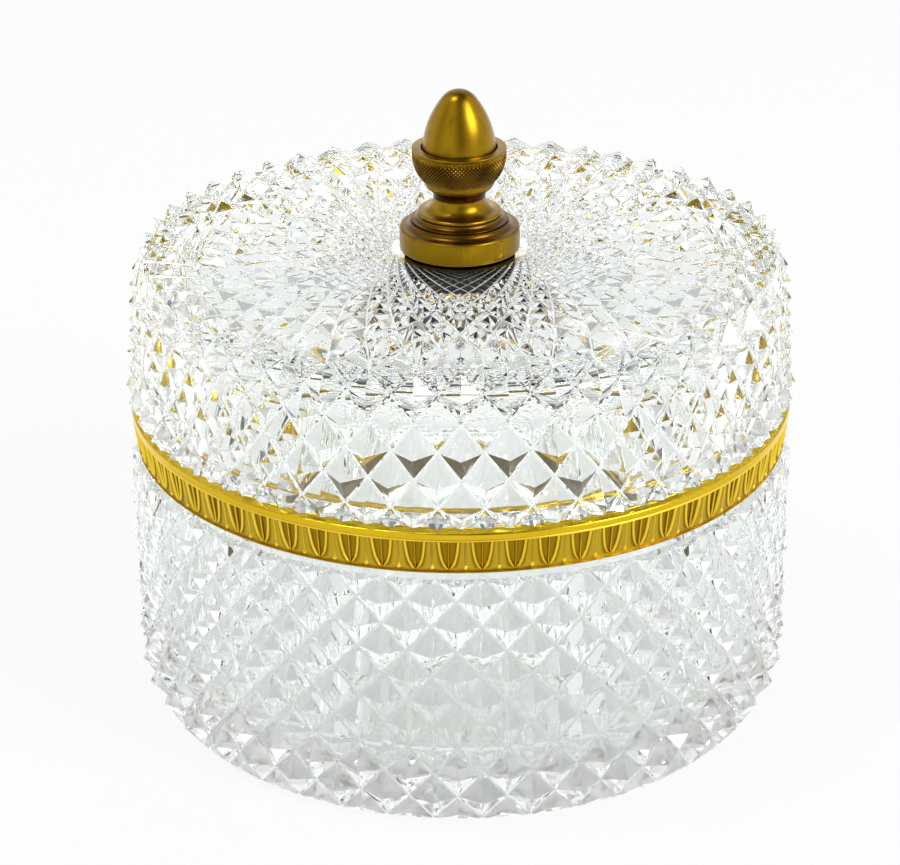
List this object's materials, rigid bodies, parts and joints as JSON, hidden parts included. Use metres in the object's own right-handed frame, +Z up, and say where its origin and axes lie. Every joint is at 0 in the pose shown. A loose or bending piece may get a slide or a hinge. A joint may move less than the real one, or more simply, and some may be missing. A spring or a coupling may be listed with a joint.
{
  "type": "crystal casket",
  "caption": "Round cut-crystal keepsake box with diamond cutting, a gilt leaf-frieze collar and a lift-off lid with a turned brass acorn knob.",
  "frame": {"origin": "on the floor, at the centre of the bowl's foot", "axes": "+Z up along the axis of the bowl, lid and knob; the front is -Y"},
  "size_m": [0.1548, 0.1548, 0.1413],
  "materials": {
    "crystal": "clear polished cut crystal",
    "gilt": "matt gilding with polished edges",
    "brass": "satin antique brass with brown patina",
    "steel": "dark blued steel",
    "gasket": "dark navy felt",
    "cement": "brown shellac cement"
  },
  "bodies": {
    "base": {"bowl": "crystal", "collar_cement": "cement", "frieze_band": "gilt", "seat_ring": "gilt"},
    "cover": {"lid": "crystal", "foot_gasket": "gasket", "knob_foot": "brass", "knob_neck": "brass", "acorn_cup": "brass", "acorn": "brass", "knob_stud": "steel", "under_gasket": "gasket", "under_washer": "steel", "under_nut": "steel"}
  },
  "joints": [
    {"name": "lid_lift", "type": "slide", "parent": "base", "child": "cover", "axis": [0, 0, 1], "range_m": [0, 0.12]}
  ]
}
